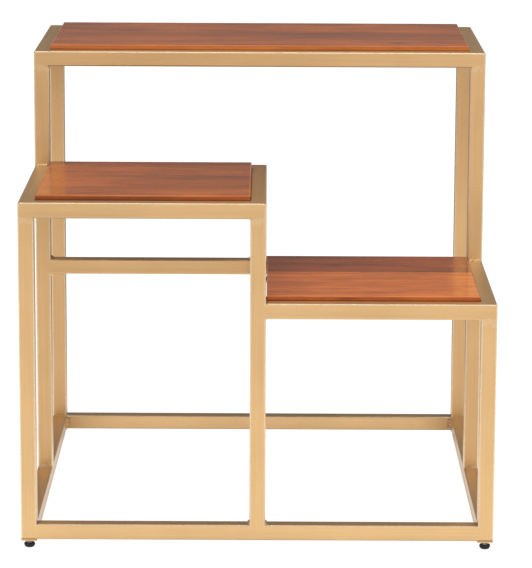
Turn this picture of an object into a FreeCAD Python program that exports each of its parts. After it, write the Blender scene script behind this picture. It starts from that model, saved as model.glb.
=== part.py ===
"""Tiered side table: a welded frame of square steel tube, three glued wooden shelves and four screw feet.

Millimetres. The origin is on the floor under the middle of the table. X runs right, Y to the rear, Z up.
The high shelf fills the rear half. In front of it are the middle shelf, left, and the low shelf, right.
"""
import FreeCAD, Part
import math
import os
from FreeCAD import Vector

# Overall sizes, and the heights of the shelf frames' upper faces above the floor
WIDTH = 600.0
DEPTH = 600.0
LOW_FRAME_TOP = 319.0
MID_FRAME_TOP = 446.0
HIGH_FRAME_TOP = 600.0

# Square steel tube
TUBE = 20.0
TUBE_WALL = 1.2
TUBE_CORNER_RADIUS = 2.0

# Middle lines of the post row between front and rear shelves, and of the posts between the two front shelves
MID_ROW_Y = 0.0
CENTRE_POST_X = 0.0

# Wooden boards, two to a panel
BOARD_THICKNESS = 20.0
BOARD_PROUD = 6.5
BOARD_ARRIS_RADIUS = 1.5
PANEL_GAP = 0.8
HIGH_REAR_BOARD_WIDTH = 118.0
MID_REAR_BOARD_WIDTH = 108.0
LOW_REAR_BOARD_WIDTH = 112.0

# Welded tabs under the panels, and the wood screws through them
TAB_LENGTH = 26.0
TAB_REACH = 22.0
TAB_THICKNESS = 3.0
TAB_CORNER_CUT = 5.0
TAB_SCREW_FROM_RAIL = 12.0
SCREW_DIAMETER = 4.0
SHANK_SIDES = 8
SCREW_UNDER_HEAD = 17.0
SCREW_ACROSS_FLATS = 7.0
SCREW_HEAD_HEIGHT = 2.4
HEX_SIDES = 6
SCREW_SLOT_CLEARANCE = 0.3
PILOT_CLEARANCE = 0.1

# Screw feet: plastic pad, plated stud with a collar, end plate under the leg and weld nut inside it
PAD_DIAMETER = 14.0
PAD_BASE_DIAMETER = 11.0
PAD_TOP_DIAMETER = 9.0
PAD_HEIGHT = 6.0
PAD_BASE_HEIGHT = 1.3
PAD_BELLY_HEIGHT = 2.6
PAD_FLOOR = 2.0
PAD_SIDES = 24
STUD_DIAMETER = 6.0
STUD_ABOVE_COLLAR = 24.0
STUD_COLLAR_DIAMETER = 8.0
STUD_COLLAR_HEIGHT = 1.2
STUD_SHOWN = 2.8
END_PLATE_THICKNESS = 2.0
END_PLATE_CORNER_CUT = 2.0
NUT_ACROSS_FLATS = 10.0
NUT_HEIGHT = 5.0
RUNNING_CLEARANCE = 0.05

# Fillet welds: length of the two legs of their section. The small ones are dressed with a file.
BEAD_LEG = 4.0
SMALL_BEAD_LEG = 2.0
CORNER_BEAD_LEG = 6.5

# Places worked out from the sizes above
LEFT, RIGHT = -WIDTH / 2, WIDTH / 2
FRONT, REAR = -DEPTH / 2, DEPTH / 2
HALF = TUBE / 2
LEFT_LINE, RIGHT_LINE = LEFT + HALF, RIGHT - HALF
FRONT_LINE, REAR_LINE = FRONT + HALF, REAR - HALF
MID_FRONT, MID_REAR = MID_ROW_Y - HALF, MID_ROW_Y + HALF
CENTRE_LEFT, CENTRE_RIGHT = CENTRE_POST_X - HALF, CENTRE_POST_X + HALF
INNER_LEFT, INNER_RIGHT = LEFT + TUBE, RIGHT - TUBE
INNER_FRONT, INNER_REAR = FRONT + TUBE, REAR - TUBE
COLLAR_TOP = PAD_HEIGHT + STUD_COLLAR_HEIGHT
PLATE_BOTTOM = COLLAR_TOP + STUD_SHOWN
RAIL_BOTTOM = PLATE_BOTTOM + END_PLATE_THICKNESS
RAIL_TOP = RAIL_BOTTOM + TUBE
TAB_DROP = BOARD_THICKNESS - BOARD_PROUD
UP = Vector(0, 0, 1)

nodes = {}


def rounded_square(side, radius):
    """Closed outline of a square with rounded corners, centred on the origin in the XY plane."""
    h = side / 2
    edges = []
    for turn in range(4):
        corner = [
            Part.LineSegment(Vector(-h + radius, -h, 0), Vector(h - radius, -h, 0)).toShape(),
            Part.Arc(
                Vector(h - radius, -h, 0),
                Vector(h - radius + radius * 0.5 ** 0.5, -h + radius - radius * 0.5 ** 0.5, 0),
                Vector(h, -h + radius, 0),
            ).toShape(),
        ]
        for edge in corner:
            edge.rotate(Vector(), UP, 90 * turn)
            edges.append(edge)
    return Part.Wire(edges)


def tube(start, end):
    """Hollow square tube along one axis of the frame, between two points on its middle line."""
    outside = rounded_square(TUBE, TUBE_CORNER_RADIUS)
    bore_side = TUBE - 2 * TUBE_WALL
    bore = Part.makePlane(bore_side, bore_side, Vector(-bore_side / 2, -bore_side / 2, 0))
    section = Part.Face(outside).cut(bore)
    length = (end - start).Length
    shape = section.extrude(Vector(0, 0, length))
    shape.Placement = FreeCAD.Placement(start, FreeCAD.Rotation(UP, end - start))
    return shape


def rail_x(x0, x1, y, top):
    return tube(Vector(x0, y, top - HALF), Vector(x1, y, top - HALF))


def rail_y(y0, y1, x, top):
    return tube(Vector(x, y0, top - HALF), Vector(x, y1, top - HALF))


def post(x, y, z0, z1):
    return tube(Vector(x, y, z0), Vector(x, y, z1))


def mitre(rail, corner_x, corner_y, inward_x, inward_y, runs_along):
    """Cuts a rail's end at 45 degrees at an outer corner of its shelf frame.

    The cutting wedge is larger than the waste, about the middle of the cut, so that it passes right through.
    """
    outer = Vector(corner_x, corner_y, 0)
    inner = outer + Vector(inward_x, inward_y, 0) * TUBE
    waste = Vector(outer.x, inner.y, 0) if runs_along == "x" else Vector(inner.x, outer.y, 0)
    middle = (outer + inner) * 0.5
    overcut = 3
    points = [middle + (corner - middle) * overcut for corner in (outer, inner, waste)]
    box = rail.BoundBox
    base = Vector(0, 0, box.ZMin - TUBE)
    wedge = Part.Face(Part.makePolygon([p + base for p in points + points[:1]]))
    return rail.cut(wedge.extrude(UP * (box.ZLength + 2 * TUBE)))


def bottom_frame():
    """Four rails between the legs, at the height of the end plates."""
    nodes["bottom_front_rail"] = rail_x(INNER_LEFT, INNER_RIGHT, FRONT_LINE, RAIL_TOP)
    nodes["bottom_rear_rail"] = rail_x(INNER_LEFT, INNER_RIGHT, REAR_LINE, RAIL_TOP)
    nodes["bottom_left_rail"] = rail_y(INNER_FRONT, INNER_REAR, LEFT_LINE, RAIL_TOP)
    nodes["bottom_right_rail"] = rail_y(INNER_FRONT, INNER_REAR, RIGHT_LINE, RAIL_TOP)


def legs_and_posts():
    """Uprights, each of which ends under the shelf frame that it carries."""
    low, mid, high = LOW_FRAME_TOP - TUBE, MID_FRAME_TOP - TUBE, HIGH_FRAME_TOP - TUBE
    nodes["front_left_leg"] = post(LEFT_LINE, FRONT_LINE, RAIL_BOTTOM, mid)
    nodes["front_right_leg"] = post(RIGHT_LINE, FRONT_LINE, RAIL_BOTTOM, low)
    nodes["rear_left_leg"] = post(LEFT_LINE, REAR_LINE, RAIL_BOTTOM, high)
    nodes["rear_right_leg"] = post(RIGHT_LINE, REAR_LINE, RAIL_BOTTOM, high)
    nodes["front_centre_post"] = post(CENTRE_POST_X, FRONT_LINE, RAIL_TOP, mid)
    nodes["short_centre_post"] = post(CENTRE_POST_X, MID_ROW_Y, LOW_FRAME_TOP, mid)
    nodes["mid_left_post"] = post(LEFT_LINE, MID_ROW_Y, RAIL_TOP, high)
    nodes["mid_right_post"] = post(RIGHT_LINE, MID_ROW_Y, RAIL_TOP, high)


def low_frame():
    """Frame of the low shelf. Its rear rail goes on to the left post and ties the row of posts together."""
    top = LOW_FRAME_TOP
    front = rail_x(CENTRE_RIGHT, RIGHT, FRONT_LINE, top)
    right = rail_y(FRONT, MID_FRONT, RIGHT_LINE, top)
    nodes["low_front_rail"] = mitre(front, RIGHT, FRONT, -1, 1, "x")
    nodes["low_right_rail"] = mitre(right, RIGHT, FRONT, -1, 1, "y")
    nodes["low_left_rail"] = rail_y(INNER_FRONT, MID_FRONT, CENTRE_POST_X, top)
    nodes["low_rear_rail"] = rail_x(INNER_LEFT, INNER_RIGHT, MID_ROW_Y, top)


def mid_frame():
    """Frame of the middle shelf, mitred at its three free corners and butted on the mid left post."""
    top = MID_FRAME_TOP
    front = rail_x(LEFT, CENTRE_RIGHT, FRONT_LINE, top)
    front = mitre(front, LEFT, FRONT, 1, 1, "x")
    nodes["mid_front_rail"] = mitre(front, CENTRE_RIGHT, FRONT, -1, 1, "x")
    nodes["mid_left_rail"] = mitre(rail_y(FRONT, MID_FRONT, LEFT_LINE, top), LEFT, FRONT, 1, 1, "y")
    right = rail_y(FRONT, MID_REAR, CENTRE_POST_X, top)
    right = mitre(right, CENTRE_RIGHT, FRONT, -1, 1, "y")
    nodes["mid_right_rail"] = mitre(right, CENTRE_RIGHT, MID_REAR, -1, -1, "y")
    rear = rail_x(INNER_LEFT, CENTRE_RIGHT, MID_ROW_Y, top)
    nodes["mid_rear_rail"] = mitre(rear, CENTRE_RIGHT, MID_REAR, -1, -1, "x")


def high_frame():
    """Frame of the high shelf, mitred at all four corners on top of its posts and legs."""
    top = HIGH_FRAME_TOP
    for name, line, corner_y, inward_y in (
        ("high_front_rail", MID_ROW_Y, MID_FRONT, 1),
        ("high_rear_rail", REAR_LINE, REAR, -1),
    ):
        rail = mitre(rail_x(LEFT, RIGHT, line, top), LEFT, corner_y, 1, inward_y, "x")
        nodes[name] = mitre(rail, RIGHT, corner_y, -1, inward_y, "x")
    for name, line, corner_x, inward_x in (
        ("high_left_rail", LEFT_LINE, LEFT, 1),
        ("high_right_rail", RIGHT_LINE, RIGHT, -1),
    ):
        rail = mitre(rail_y(MID_FRONT, REAR, line, top), corner_x, MID_FRONT, inward_x, 1, "y")
        nodes[name] = mitre(rail, corner_x, REAR, inward_x, -1, "y")


def polygon(sides, across_flats, z):
    """Closed regular outline about the Z axis, at the height z."""
    turn = 360 / sides
    corner = Vector(across_flats / 2 / math.cos(math.radians(turn / 2)), 0, z)
    return Part.makePolygon([FreeCAD.Rotation(UP, turn * side) * corner for side in range(sides + 1)])


def prism(sides, across_flats, height, z):
    """Upright prism with a regular outline about the Z axis, from z upwards."""
    return Part.Face(polygon(sides, across_flats, z)).extrude(UP * height)


def screw(place):
    """Hex-head wood screw, pointing up, with the underside of its head at the given place.

    The shank, out of sight in the wood, has few sides, and so has its pilot hole.
    """
    head = prism(HEX_SIDES, SCREW_ACROSS_FLATS, SCREW_HEAD_HEIGHT, -SCREW_HEAD_HEIGHT)
    shank = prism(SHANK_SIDES, SCREW_DIAMETER, SCREW_UNDER_HEAD, 0)
    return head.fuse(shank).translated(place)


def tab(root, inward):
    """Flat tab welded to a rail's inner face at root, which is the middle of the tab's upper welded edge.

    Its open slot lets the wood swell and shrink under the screw.
    """
    half = TAB_LENGTH / 2
    plate = Part.makeBox(TAB_REACH, TAB_LENGTH, TAB_THICKNESS, Vector(0, -half, -TAB_THICKNESS))
    upright = [e for e in plate.Edges if e.BoundBox.ZLength > TAB_THICKNESS / 2]
    plate = plate.makeChamfer(TAB_CORNER_CUT, [e for e in upright if e.BoundBox.XMin > TAB_REACH / 2])
    radius = SCREW_DIAMETER / 2 + SCREW_SLOT_CLEARANCE
    below = -2 * TAB_THICKNESS
    slot_end = Part.makeCylinder(radius, 3 * TAB_THICKNESS, Vector(TAB_SCREW_FROM_RAIL, 0, below))
    slot = Part.makeBox(TAB_REACH, 2 * radius, 3 * TAB_THICKNESS, Vector(TAB_SCREW_FROM_RAIL, -radius, below))
    plate = plate.cut(slot_end.fuse(slot))
    plate.Placement = FreeCAD.Placement(root, FreeCAD.Rotation(Vector(1, 0, 0), inward))
    return plate


def shelf(name, x0, x1, y0, y1, frame_top, rear_board_width, tab_places):
    """One shelf: two glued boards that drop into the frame's opening, the tabs under them and their screws.

    x0 to y1 are the inner faces of the frame. tab_places lists (x, y, inward) on those faces.
    """
    x0, x1, y0, y1 = x0 + PANEL_GAP, x1 - PANEL_GAP, y0 + PANEL_GAP, y1 - PANEL_GAP
    underside = frame_top - TAB_DROP
    panel = Part.makeBox(x1 - x0, y1 - y0, BOARD_THICKNESS, Vector(x0, y0, underside))
    upper = [e for e in panel.Edges if e.BoundBox.ZMin > underside + BOARD_THICKNESS / 2]
    panel = panel.makeFillet(BOARD_ARRIS_RADIUS, upper)
    tabs, screws = [], []
    for x, y, inward in tab_places:
        root = Vector(x, y, underside)
        tabs.append(tab(root, inward))
        head = root + inward * TAB_SCREW_FROM_RAIL - UP * TAB_THICKNESS
        screws.append(screw(head))
        pilot = prism(SHANK_SIDES, SCREW_DIAMETER + 2 * PILOT_CLEARANCE, SCREW_UNDER_HEAD, PILOT_CLEARANCE)
        panel = panel.cut(pilot.translated(head))
    glue_line = y1 - rear_board_width
    front_half = Part.makeBox(x1 - x0, glue_line - y0, BOARD_THICKNESS, Vector(x0, y0, underside))
    nodes[name + "_panel_front_board"] = panel.common(front_half)
    nodes[name + "_panel_rear_board"] = panel.cut(front_half)
    nodes[name + "_panel_tabs"] = Part.makeCompound(tabs)
    nodes[name + "_panel_screws"] = Part.makeCompound(screws)


def board_middles(y0, y1, rear_board_width):
    """Middle lines, front and rear, of the two boards in an opening from y0 to y1."""
    glue_line = y1 - PANEL_GAP - rear_board_width
    return (y0 + PANEL_GAP + glue_line) / 2, (glue_line + y1 - PANEL_GAP) / 2


def shelves():
    """Three panels. Each board lies on a tab at both ends."""
    right, left = Vector(1, 0, 0), Vector(-1, 0, 0)
    openings = (
        ("high", INNER_LEFT, INNER_RIGHT, MID_REAR, INNER_REAR, HIGH_FRAME_TOP, HIGH_REAR_BOARD_WIDTH),
        ("mid", INNER_LEFT, CENTRE_LEFT, INNER_FRONT, MID_FRONT, MID_FRAME_TOP, MID_REAR_BOARD_WIDTH),
        ("low", CENTRE_RIGHT, INNER_RIGHT, INNER_FRONT, MID_FRONT, LOW_FRAME_TOP, LOW_REAR_BOARD_WIDTH),
    )
    for name, x0, x1, y0, y1, frame_top, rear_width in openings:
        places = []
        for y in board_middles(y0, y1, rear_width):
            places += [(x0, y, right), (x1, y, left)]
        shelf(name, x0, x1, y0, y1, frame_top, rear_width, places)


def bead(corner, first, second, leg=BEAD_LEG):
    """Weld bead across the flat of a tube's face in an inside corner, centred there.

    first and second point away from the corner along the two faces that the bead joins.
    """
    length = TUBE - 2 * TUBE_CORNER_RADIUS
    outline = Part.makePolygon([Vector(), Vector(leg, 0, 0), Vector(0, leg, 0), Vector()])
    shape = Part.Face(outline).extrude(UP * length)
    shape.translate(UP * (-length / 2))
    turn = FreeCAD.Rotation(first, second, first.cross(second), "ZXY")
    shape.Placement = FreeCAD.Placement(corner, turn) * shape.Placement
    return shape


def welds():
    """Beads left standing: inside corners of the bottom frame, feet and tops of the uprights, rails' ends."""
    right, left = Vector(1, 0, 0), Vector(-1, 0, 0)
    back, forward = Vector(0, 1, 0), Vector(0, -1, 0)
    sides = ((LEFT_LINE, INNER_LEFT, right), (RIGHT_LINE, INNER_RIGHT, left))
    centre_faces = ((CENTRE_LEFT, left), (CENTRE_RIGHT, right))
    corners, feet, tops, ends = [], [], [], []
    for line, inner_x, in_x in sides:
        for y, in_y in ((INNER_FRONT, back), (INNER_REAR, forward)):
            corners.append(bead(Vector(inner_x, y, RAIL_BOTTOM + HALF), in_x, in_y, CORNER_BEAD_LEG))
        for y, out_y in ((MID_FRONT, forward), (MID_REAR, back)):
            feet.append(bead(Vector(line, y, RAIL_TOP), out_y, UP))
        for y in (MID_ROW_Y, REAR_LINE):
            tops.append(bead(Vector(inner_x, y, HIGH_FRAME_TOP - TUBE), in_x, -UP))
    for x, out_x in centre_faces:
        feet.append(bead(Vector(x, FRONT_LINE, RAIL_TOP), out_x, UP))
        feet.append(bead(Vector(x, MID_ROW_Y, LOW_FRAME_TOP), out_x, UP))
    for x, in_x, frame_top in (
        (INNER_LEFT, right, MID_FRAME_TOP),
        (CENTRE_LEFT, left, MID_FRAME_TOP),
        (CENTRE_RIGHT, right, LOW_FRAME_TOP),
        (INNER_RIGHT, left, LOW_FRAME_TOP),
    ):
        tops.append(bead(Vector(x, FRONT_LINE, frame_top - TUBE), in_x, -UP, SMALL_BEAD_LEG))
    for x, y, along, frame_top in (
        (LEFT_LINE, MID_FRONT, forward, MID_FRAME_TOP),
        (RIGHT_LINE, MID_FRONT, forward, LOW_FRAME_TOP),
        (INNER_LEFT, MID_ROW_Y, right, LOW_FRAME_TOP),
        (INNER_RIGHT, MID_ROW_Y, left, LOW_FRAME_TOP),
        (INNER_LEFT, MID_ROW_Y, right, MID_FRAME_TOP),
    ):
        ends.append(bead(Vector(x, y, frame_top), along, UP))
        ends.append(bead(Vector(x, y, frame_top - TUBE), along, -UP))
    nodes["bottom_corner_welds"] = Part.makeCompound(corners)
    nodes["upright_foot_welds"] = Part.makeCompound(feet)
    nodes["upright_top_welds"] = Part.makeCompound(tops)
    nodes["shelf_rail_welds"] = Part.makeCompound(ends)


def stacked(outlines):
    """Solid with flat sides between regular outlines of equal count, listed from the bottom up."""
    faces = [Part.Face(outlines[0]), Part.Face(outlines[-1])]
    for lower, upper in zip(outlines, outlines[1:]):
        for low, high in zip(lower.Edges, upper.Edges):
            corners = [v.Point for v in low.Vertexes + high.Vertexes[::-1]]
            faces.append(Part.Face(Part.makePolygon(corners + corners[:1])))
    shell = Part.makeShell(faces)
    shell.sewShape()
    return Part.makeSolid(shell)


def pad():
    """Plastic pad with a bevelled base, a belly and a tapered crown, and a socket for the stud's end."""
    outlines = [
        polygon(PAD_SIDES, PAD_BASE_DIAMETER, 0),
        polygon(PAD_SIDES, PAD_DIAMETER, PAD_BASE_HEIGHT),
        polygon(PAD_SIDES, PAD_DIAMETER, PAD_BELLY_HEIGHT),
        polygon(PAD_SIDES, PAD_TOP_DIAMETER, PAD_HEIGHT),
    ]
    socket_radius = STUD_DIAMETER / 2 + RUNNING_CLEARANCE
    socket = Part.makeCylinder(socket_radius, PAD_HEIGHT, Vector(0, 0, PAD_FLOOR))
    return stacked(outlines).cut(socket)


def stud():
    """Plated stud that stands in the pad's socket, with a collar that sits on the pad."""
    r, collar = STUD_DIAMETER / 2, STUD_COLLAR_DIAMETER / 2
    top = COLLAR_TOP + STUD_ABOVE_COLLAR
    outline = [
        (0, PAD_FLOOR),
        (r, PAD_FLOOR),
        (r, PAD_HEIGHT),
        (collar, PAD_HEIGHT),
        (collar, COLLAR_TOP),
        (r, COLLAR_TOP),
        (r, top),
        (0, top),
    ]
    points = [Vector(radius, 0, height) for radius, height in outline]
    return Part.Face(Part.makePolygon(points + points[:1])).revolve(Vector(), UP, 360)


def leg_ends():
    """End plates under the four legs, weld nuts on them inside the tube, and the feet in their thread."""
    nut_top = RAIL_BOTTOM + NUT_HEIGHT
    thread = Part.makeCylinder(STUD_DIAMETER / 2 + RUNNING_CLEARANCE, nut_top)
    plate = Part.makeBox(TUBE, TUBE, END_PLATE_THICKNESS, Vector(-HALF, -HALF, PLATE_BOTTOM))
    corners = [e for e in plate.Edges if e.BoundBox.ZLength > END_PLATE_THICKNESS / 2]
    plate = plate.makeChamfer(END_PLATE_CORNER_CUT, corners).cut(thread)
    nut = prism(HEX_SIDES, NUT_ACROSS_FLATS, NUT_HEIGHT, RAIL_BOTTOM).cut(thread)
    plates, nuts = [], []
    for corner, x, y in (
        ("front_left", LEFT_LINE, FRONT_LINE),
        ("front_right", RIGHT_LINE, FRONT_LINE),
        ("rear_left", LEFT_LINE, REAR_LINE),
        ("rear_right", RIGHT_LINE, REAR_LINE),
    ):
        place = Vector(x, y, 0)
        plates.append(plate.translated(place))
        nuts.append(nut.translated(place))
        nodes[corner + "_foot_pad"] = pad().translated(place)
        nodes[corner + "_foot_stud"] = stud().translated(place)
    nodes["leg_end_plates"] = Part.makeCompound(plates)
    nodes["leg_weld_nuts"] = Part.makeCompound(nuts)


os.makedirs("parts", exist_ok=True)
bottom_frame()
legs_and_posts()
low_frame()
mid_frame()
high_frame()
shelves()
welds()
leg_ends()
for node, shape in nodes.items():
    shape.exportStep("parts/" + node + ".step")
print(len(nodes), "nodes,", sum(len(shape.Solids) for shape in nodes.values()), "solids")
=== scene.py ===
"""Looks of the tiered side table: a welded frame of gold tube, three wooden shelves and four screw feet.

Metres, in the frame of the CAD model: the origin is on the floor under the middle of the table,
X points right, Y to the rear and Z up.
"""
import itertools
import math

import bmesh
import bpy
from mathutils import Matrix, Vector


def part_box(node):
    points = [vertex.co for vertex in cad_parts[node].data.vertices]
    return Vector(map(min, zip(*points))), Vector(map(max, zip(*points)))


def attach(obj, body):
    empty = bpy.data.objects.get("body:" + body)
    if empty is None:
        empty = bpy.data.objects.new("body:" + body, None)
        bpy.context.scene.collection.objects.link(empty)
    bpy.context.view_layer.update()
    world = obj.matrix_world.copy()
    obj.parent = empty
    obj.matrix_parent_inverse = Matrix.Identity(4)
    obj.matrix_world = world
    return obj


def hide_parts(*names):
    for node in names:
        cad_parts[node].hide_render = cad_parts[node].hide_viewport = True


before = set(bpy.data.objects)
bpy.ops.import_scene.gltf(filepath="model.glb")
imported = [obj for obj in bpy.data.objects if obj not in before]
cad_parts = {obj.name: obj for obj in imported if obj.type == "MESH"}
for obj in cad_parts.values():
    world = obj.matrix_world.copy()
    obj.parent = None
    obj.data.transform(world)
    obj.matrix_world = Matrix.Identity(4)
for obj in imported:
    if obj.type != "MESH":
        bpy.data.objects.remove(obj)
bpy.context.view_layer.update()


# Frame tubes: square steel tube, mitred at the shelf corners, welded and sprayed satin gold. The joints
# that show are ground flush, so one skin stands for all the tubes. The paint is paler where the grinder
# was. The upper and side edges are paler with wear and a painted highlight, and painted shade darkens
# the lower edges, more so higher up. Forming leaves the sides of the tube slightly hollow.
TUBE_CORNER_RADIUS = 0.002
TUBE_CORNER_STEPS = 4
TUBE_HOLLOW = 0.00024
GROUND_LENGTH = 0.011
GROUND_FADE = 0.004
SHARP_ANGLE = 0.1
FLAT_NORMAL = 0.999
SQUARE_NORMAL = 0.001
DOWNWARD_NORMAL = -0.1
GOLD = (0.86, 0.53, 0.21, 1)
GOLD_SHADED = (0.72, 0.43, 0.155, 1)
GOLD_PALE = (0.97, 0.79, 0.54, 1)
# Dark gold of the painted shade on the lower edges of the tubes.
GOLD_UNDER_EDGE_SHADE = (0.30, 0.20, 0.10, 1)
UNDER_SHADE_FROM_HEIGHT = 0.25
UNDER_SHADE_TO_HEIGHT = 0.45
UNDER_SHADE_SHARE = 0.8
SPRAY_STREAKS = {"Along": 7.0, "Across": 420.0}
SPRAY_SHARE = 0.55
STREAK_SHIFT = 0.37
CLOUD_RATE = 9.0
CLOUD_SHARE = 0.45
GRIT_RATE = 260.0
SMEAR_RATE = 130.0
SMEAR_REACH = 0.4
SMEAR_FADE = (0.45, 0.8)
GROUND_PALE = (0.08, 0.28)
# Paler gold on upper and side edges: partly wear, partly a painted highlight.
EDGE_WEAR_AND_HIGHLIGHT = (0.5, 0.9)
PEEL_RATE = 700.0
PEEL_DEPTH = 0.0004
PEEL_STRENGTH = 0.04
SOFT_CONTRAST = (0.3, 0.7)
FIRM_CONTRAST = (0.35, 0.65)
HARD_CONTRAST = (0.4, 0.6)
PAINT_METALLIC = 0.82
PAINT_ROUGHNESS = (0.44, 0.5)
VARNISH_IOR = 1.75
VARNISH_ROUGHNESS = 0.4


def put(tree, kind, inputs=None, **settings):
    """Adds a node, sets its properties, and gives each named input a value or another node's output."""
    made = tree.nodes.new(kind)
    for name, value in settings.items():
        setattr(made, name, value)
    for name, value in (inputs or {}).items():
        if isinstance(value, bpy.types.NodeSocket):
            tree.links.new(value, made.inputs[name])
        else:
            made.inputs[name].default_value = value
    return made


def number(tree, operation, first, second):
    """Output of a Math node on two numbers or outputs."""
    return put(tree, "ShaderNodeMath", {0: first, 1: second}, operation=operation).outputs[0]


def vector(tree, operation, first, second):
    """Output of a Vector Math node on two places or outputs."""
    return put(tree, "ShaderNodeVectorMath", {0: first, 1: second}, operation=operation).outputs[0]


def spread(tree, value, low, high, new_low=0.0, new_high=1.0):
    """Output of a Map Range node, clamped to the new range."""
    inputs = {"Value": value, "From Min": low, "From Max": high, "To Min": new_low, "To Max": new_high}
    return put(tree, "ShaderNodeMapRange", inputs).outputs["Result"]


def mixed(tree, share, first, second):
    """Output of a colour Mix node."""
    return put(tree, "ShaderNodeMix", {0: share, 6: first, 7: second}, data_type="RGBA").outputs[2]


def noise(tree, place, scale, detail=3.0, roughness=0.5):
    """Output of a Noise texture at a place."""
    inputs = {"Vector": place, "Scale": scale, "Detail": detail, "Roughness": roughness}
    return put(tree, "ShaderNodeTexNoise", inputs).outputs["Fac"]


def group_of(kind, name, inputs, outputs):
    """New node group with sockets given as {name: socket type}: its tree and both sets of sockets."""
    tree = bpy.data.node_groups.new(name, kind)
    for in_out, sockets in (("INPUT", inputs), ("OUTPUT", outputs)):
        for socket, socket_type in sockets.items():
            tree.interface.new_socket(socket, in_out=in_out, socket_type=socket_type)
    return tree, tree.nodes.new("NodeGroupInput").outputs, tree.nodes.new("NodeGroupOutput").inputs


def placed(tree, group, inputs):
    """Outputs of a node group placed in a material with its own values."""
    return put(tree, "ShaderNodeGroup", inputs, node_tree=group).outputs


def kept_on_mesh(tree, name, kind="Fac"):
    """Output of an attribute that the mesh carries."""
    return put(tree, "ShaderNodeAttribute", attribute_name=name).outputs[kind]


def object_place(tree):
    """Output of the place on the object."""
    return put(tree, "ShaderNodeTexCoord").outputs["Object"]


def lengthwise_streaks():
    """Group: streaks drawn out along the first axis of the place, by so many to the metre each way."""
    inputs = {"Place": "NodeSocketVector", "Along": "NodeSocketFloat", "Across": "NodeSocketFloat"}
    outputs = {"Streak": "NodeSocketFloat"}
    tree, given, result = group_of("ShaderNodeTree", "lengthwise_streaks", inputs, outputs)
    rate = {"X": given["Along"], "Y": given["Across"], "Z": given["Across"]}
    drawn = vector(tree, "MULTIPLY", given["Place"], put(tree, "ShaderNodeCombineXYZ", rate).outputs[0])
    streak = spread(tree, noise(tree, drawn, 1.0, detail=4.0, roughness=0.6), *SOFT_CONTRAST)
    tree.links.new(streak, result["Streak"])
    return tree


def new_finish(name):
    """New material with only a Principled BSDF: the material, its tree and the shader."""
    finish = bpy.data.materials.new(name)
    finish.use_nodes = True
    return finish, finish.node_tree, finish.node_tree.nodes["Principled BSDF"]


def gold_paint(name, follows_tube, pale_share=0.0):
    """Satin gold spray paint. On tube its streaks follow it, joints are paler, and edges get wear, painted
    highlight and shade.
    """
    finish, tree, paint = new_finish(name)
    place = object_place(tree)
    along = kept_on_mesh(tree, "along_tube", "Vector") if follows_tube else place
    streak = placed(tree, streak_group, {"Place": along, **SPRAY_STREAKS})["Streak"]
    cloud = spread(tree, noise(tree, place, CLOUD_RATE), *FIRM_CONTRAST)
    cloud = number(tree, "MULTIPLY", cloud, CLOUD_SHARE)
    tone = number(tree, "ADD", cloud, number(tree, "MULTIPLY", streak, SPRAY_SHARE))
    colour = mixed(tree, tone, GOLD_SHADED, GOLD)
    grit = noise(tree, place, GRIT_RATE, detail=5.0, roughness=0.7)
    colour = mixed(tree, spread(tree, grit, *HARD_CONTRAST, 0.0, pale_share), colour, GOLD_PALE)
    if follows_tube:
        ragged = spread(tree, noise(tree, place, SMEAR_RATE), *SOFT_CONTRAST, -SMEAR_REACH, SMEAR_REACH)
        smear = number(tree, "ADD", kept_on_mesh(tree, "ground"), ragged)
        scratches = spread(tree, grit, *FIRM_CONTRAST, *GROUND_PALE)
        ground = number(tree, "MULTIPLY", spread(tree, smear, *SMEAR_FADE), scratches)
        # Upper and side edges are mixed paler: wear together with a painted highlight.
        rubs_and_highlight = spread(tree, grit, *HARD_CONTRAST, *EDGE_WEAR_AND_HIGHLIGHT)
        edge = number(tree, "MULTIPLY", kept_on_mesh(tree, "edge"), rubs_and_highlight)
        colour = mixed(tree, number(tree, "MAXIMUM", ground, edge), colour, GOLD_PALE)
        # Painted shade: lower edges are mixed towards dark gold, more so higher up.
        under_shade = number(tree, "MULTIPLY", kept_on_mesh(tree, "shaded_under_edge"), UNDER_SHADE_SHARE)
        colour = mixed(tree, under_shade, colour, GOLD_UNDER_EDGE_SHADE)
    tree.links.new(colour, paint.inputs["Base Color"])
    tree.links.new(spread(tree, streak, 0.0, 1.0, *PAINT_ROUGHNESS), paint.inputs["Roughness"])
    peel = {"Strength": PEEL_STRENGTH, "Distance": PEEL_DEPTH, "Height": noise(tree, place, PEEL_RATE)}
    peel = put(tree, "ShaderNodeBump", peel)
    if follows_tube:
        across = kept_on_mesh(tree, "across_tube")
        hollow = number(tree, "MINIMUM", number(tree, "MULTIPLY", across, across), 1.0)
        hollow = put(tree, "ShaderNodeBump", {"Strength": 1.0, "Distance": TUBE_HOLLOW, "Height": hollow})
        tree.links.new(hollow.outputs["Normal"], peel.inputs["Normal"])
    tree.links.new(peel.outputs["Normal"], paint.inputs["Normal"])
    paint.inputs["Metallic"].default_value = PAINT_METALLIC
    paint.inputs["Coat Weight"].default_value = 1.0
    paint.inputs["Coat IOR"].default_value = VARNISH_IOR
    paint.inputs["Coat Roughness"].default_value = VARNISH_ROUGHNESS
    return finish


def settle(piece):
    """Turns an object with modifiers into the plain mesh that they make."""
    bpy.context.view_layer.update()
    shaped = piece.evaluated_get(bpy.context.evaluated_depsgraph_get())
    plain = bpy.data.meshes.new_from_object(shaped)
    piece.modifiers.clear()
    piece.data = plain
    return piece


def new_piece(name, mesh, finish):
    """New object with this mesh and one material."""
    piece = bpy.data.objects.new(name, mesh)
    bpy.context.collection.objects.link(piece)
    mesh.materials.clear()
    mesh.materials.append(finish)
    return piece


def fit(piece, body, nodes):
    """Puts a finished piece on its body, in place of the CAD nodes that it stands for."""
    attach(piece, body)
    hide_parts(*nodes)


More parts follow.
